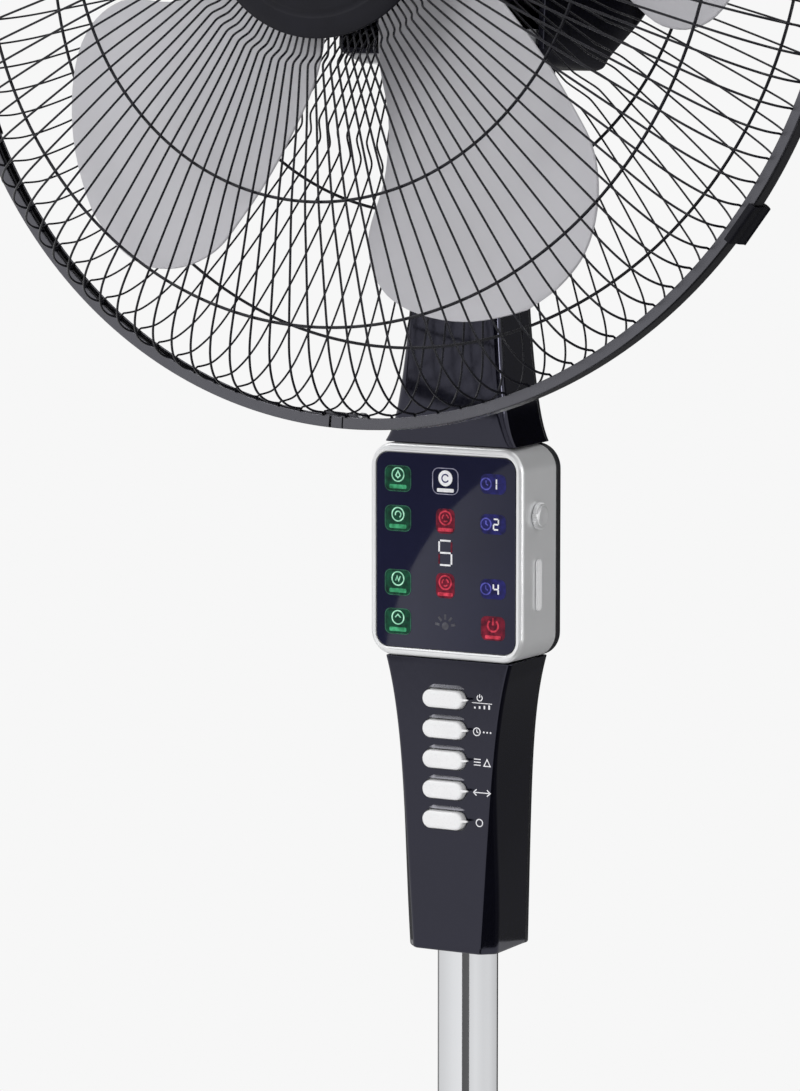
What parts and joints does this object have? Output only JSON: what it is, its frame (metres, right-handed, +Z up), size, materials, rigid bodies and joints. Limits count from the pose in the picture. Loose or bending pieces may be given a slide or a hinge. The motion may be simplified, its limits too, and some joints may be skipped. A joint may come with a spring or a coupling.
{
  "type": "pedestal fan",
  "caption": "Pedestal fan with a caged bladed head that swings and tilts on a tapered push-button control column, on a telescopic pole with a round base.",
  "frame": {"origin": "on the pole's axis at the floor, at the middle of the underside of the base", "axes": "+Z up along the pole, the air leaves towards -Y, +X is the left side of a person who stands behind the fan and looks along the air stream"},
  "size_m": [0.44, 0.4, 1.2222],
  "materials": {
    "rubber": "matt black rubber",
    "iron": "rough cast iron",
    "gloss_black": "glossy black moulded plastic",
    "satin_black": "satin black moulded plastic",
    "steel": "plain machined steel",
    "shield": "die-cast aluminium",
    "chrome": "bright chrome plate",
    "silver_plastic": "silver painted plastic",
    "white_plastic": "white moulded plastic",
    "nylon": "natural nylon",
    "lens": "smoked clear window",
    "board": "green circuit board",
    "bronze": "sintered bronze",
    "copper": "enamelled copper wire",
    "blade": "grey moulded plastic",
    "wire": "black coated steel wire",
    "band": "dark grey moulded plastic"
  },
  "bodies": {
    "base": {"base_pad": "rubber", "base_weight": "iron", "base_cover": "gloss_black", "tube_foot": "satin_black", "base_bolt": "steel", "outer_tube": "chrome", "height_collar": "satin_black"},
    "height_knob": {"height_knob": "satin_black"},
    "column": {"inner_tube": "chrome", "pole_guide": "nylon", "lower_housing": "gloss_black", "lower_housing_back": "satin_black", "cable_gland": "rubber", "button_board": "board", "display_bezel": "silver_plastic", "display_lens": "lens", "display_board": "board", "display_back": "satin_black", "crown_trim": "silver_plastic", "side_trim": "silver_plastic", "neck_front": "gloss_black", "neck_back": "satin_black", "column_core": "satin_black", "tilt_nut": "steel"},
    "button_1": {"button_1": "white_plastic"},
    "button_2": {"button_2": "white_plastic"},
    "button_3": {"button_3": "white_plastic"},
    "button_4": {"button_4": "white_plastic"},
    "button_5": {"button_5": "white_plastic"},
    "tilt_knob": {"tilt_screw": "steel", "tilt_knob": "satin_black"},
    "yoke": {"tilt_yoke": "satin_black", "swing_bush": "bronze", "swing_sector": "nylon"},
    "head": {"pivot_block": "shield", "swing_motor": "steel", "motor_front_shield": "shield", "motor_rear_shield": "shield", "bearing_front": "bronze", "bearing_rear": "bronze", "stator_core": "iron", "stator_winding": "copper", "capacitor": "nylon", "motor_cover": "gloss_black", "cover_screw": "steel", "front_guard": "wire", "rear_guard": "wire", "guard_nut": "satin_black", "guard_badge": "satin_black", "guard_rim": "band", "rim_screw": "steel"},
    "swing_pinion": {"swing_pinion": "nylon"},
    "rotor": {"motor_shaft": "steel", "rotor_core": "iron", "drive_pin": "steel", "blade_rotor": "blade", "blade_nut": "satin_black"},
    "rim_clip_1": {"rim_clip_1": "satin_black"},
    "rim_clip_2": {"rim_clip_2": "satin_black"},
    "rim_clip_3": {"rim_clip_3": "satin_black"}
  },
  "joints": [
    {"name": "height", "type": "slide", "parent": "base", "child": "column", "axis": [0, 0, 1], "range_m": [-0.08, 0.11]},
    {"name": "height_knob_turn", "type": "hinge", "parent": "base", "child": "height_knob", "pos_m": [0, 0, 0.3875], "axis": [0, 1, 0], "range_deg": [0, 360]},
    {"name": "tilt", "type": "hinge", "parent": "column", "child": "yoke", "pos_m": [0, 0, 0.868], "axis": [-1, 0, 0], "range_deg": [-12.45, 20.55]},
    {"name": "tilt_knob_turn", "type": "hinge", "parent": "column", "child": "tilt_knob", "pos_m": [0, 0, 0.868], "axis": [1, 0, 0], "range_deg": [0, 360]},
    {"name": "swing", "type": "hinge", "parent": "yoke", "child": "head", "pos_m": [0, 0, 0.868], "axis": [0, 0.0776, 0.997], "range_deg": [-40, 40]},
    {"name": "swing_pinion_turn", "type": "hinge", "parent": "head", "child": "swing_pinion", "pos_m": [0.0282, 0, 0.868], "axis": [0, 0.0776, 0.997], "range_deg": [-169, 169]},
    {"name": "blade_spin", "type": "hinge", "parent": "head", "child": "rotor", "pos_m": [0, -0.08301, 1.00004], "axis": [0, -0.997, 0.0776], "continuous": true},
    {"name": "button_1_press", "type": "slide", "parent": "column", "child": "button_1", "axis": [0, 1, 0], "range_m": [0, 0.0012], "stiffness_N_per_m": 800, "springref_m": -0.0005},
    {"name": "button_2_press", "type": "slide", "parent": "column", "child": "button_2", "axis": [0, 1, 0], "range_m": [0, 0.0012], "stiffness_N_per_m": 800, "springref_m": -0.0005},
    {"name": "button_3_press", "type": "slide", "parent": "column", "child": "button_3", "axis": [0, 1, 0], "range_m": [0, 0.0012], "stiffness_N_per_m": 800, "springref_m": -0.0005},
    {"name": "button_4_press", "type": "slide", "parent": "column", "child": "button_4", "axis": [0, 1, 0], "range_m": [0, 0.0012], "stiffness_N_per_m": 800, "springref_m": -0.0005},
    {"name": "button_5_press", "type": "slide", "parent": "column", "child": "button_5", "axis": [0, 1, 0], "range_m": [0, 0.0012], "stiffness_N_per_m": 800, "springref_m": -0.0005},
    {"name": "rim_clip_1_open", "type": "hinge", "parent": "head", "child": "rim_clip_1", "pos_m": [0.17807, -0.08133, 0.87204], "axis": [0.5821, 0.0631, 0.8106], "range_deg": [0, 50]},
    {"name": "rim_clip_2_open", "type": "hinge", "parent": "head", "child": "rim_clip_2", "pos_m": [0.02137, -0.05453, 1.21644], "axis": [-0.9952, 0.0076, 0.0973], "range_deg": [0, 50]},
    {"name": "rim_clip_3_open", "type": "hinge", "parent": "head", "child": "rim_clip_3", "pos_m": [-0.19944, -0.07846, 0.90894], "axis": [0.4131, -0.0707, -0.9079], "range_deg": [0, 50]}
  ],
  "couplings": [
    {"joint": "swing_pinion_turn", "follows": "swing", "ratio": 4.2222}
  ]
}
